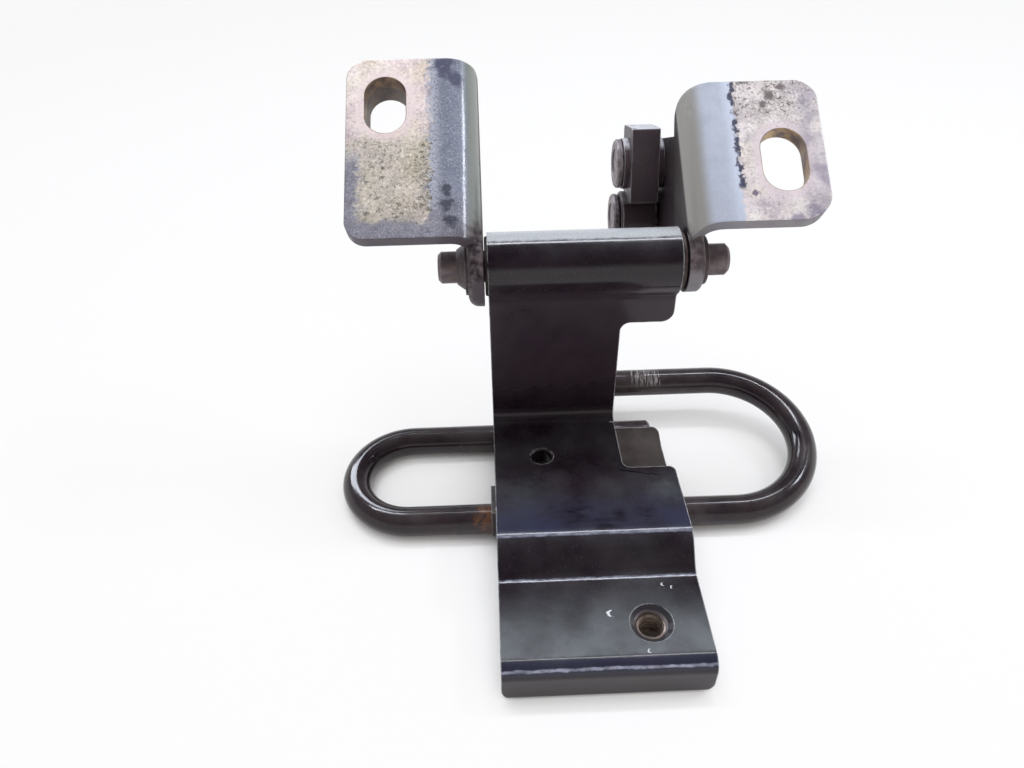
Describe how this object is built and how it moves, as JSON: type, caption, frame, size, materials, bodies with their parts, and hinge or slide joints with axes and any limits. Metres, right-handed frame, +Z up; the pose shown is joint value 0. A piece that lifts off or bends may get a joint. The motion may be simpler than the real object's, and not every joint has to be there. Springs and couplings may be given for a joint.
{
  "type": "car door hinge",
  "caption": "Car door hinge: slotted body wings on a pin through a cranked door leaf, with a bent torsion rod, roller and stop block that check the door.",
  "frame": {"origin": "centre of the bounding box in plan, at the height of the lowest points, where the lip of the door leaf and the rod stand on a table", "axes": "+X along the hinge pin towards the check gear, +Y from the lip of the door leaf towards the rear, +Z up"},
  "size_m": [0.136, 0.131, 0.1047],
  "materials": {
    "leaf_coat": "gloss black stoved coat over steel",
    "nut_steel": "bare thread, dull",
    "bush_liner": "dark oiled bearing steel",
    "rod_coat": "gloss black coat over spring steel",
    "retainer_coat": "thin grey-black coat over steel",
    "left_wing_plate": "blue-grey coat on the bend, yellow-passivated bare flange",
    "right_wing_plate": "blue-grey coat on the bend, yellow-passivated bare flange",
    "backing_steel": "dark oxidised steel",
    "pin_steel": "dull dark steel",
    "collar_steel": "dull dark steel",
    "stud_steel": "dark oiled steel",
    "gear_coat": "black-brown coat, greasy"
  },
  "bodies": {
    "leaf": {"door_leaf": "leaf_coat", "weld_nut": "nut_steel", "bush_left": "bush_liner", "bush_right": "bush_liner", "torsion_rod": "rod_coat", "rod_retainer": "retainer_coat"},
    "bracket": {"left_wing": "left_wing_plate", "slot_backing_plate": "backing_steel", "right_wing": "right_wing_plate", "hinge_pin": "pin_steel", "pin_collar": "collar_steel", "pin_washer": "collar_steel", "upper_stud": "stud_steel", "lower_stud": "stud_steel", "outer_sleeve": "gear_coat", "inner_sleeve": "gear_coat", "stop_block": "gear_coat"},
    "roller": {"check_roller": "gear_coat"}
  },
  "joints": [
    {"name": "door_swing", "type": "hinge", "parent": "leaf", "child": "bracket", "pos_m": [-0.0009, 0.01577, 0.064], "axis": [1, 0, 0], "range_deg": [-85, 0]},
    {"name": "roller_spin", "type": "hinge", "parent": "bracket", "child": "roller", "pos_m": [0.0198, 0.05677, 0.055], "axis": [1, 0, 0], "continuous": true}
  ]
}
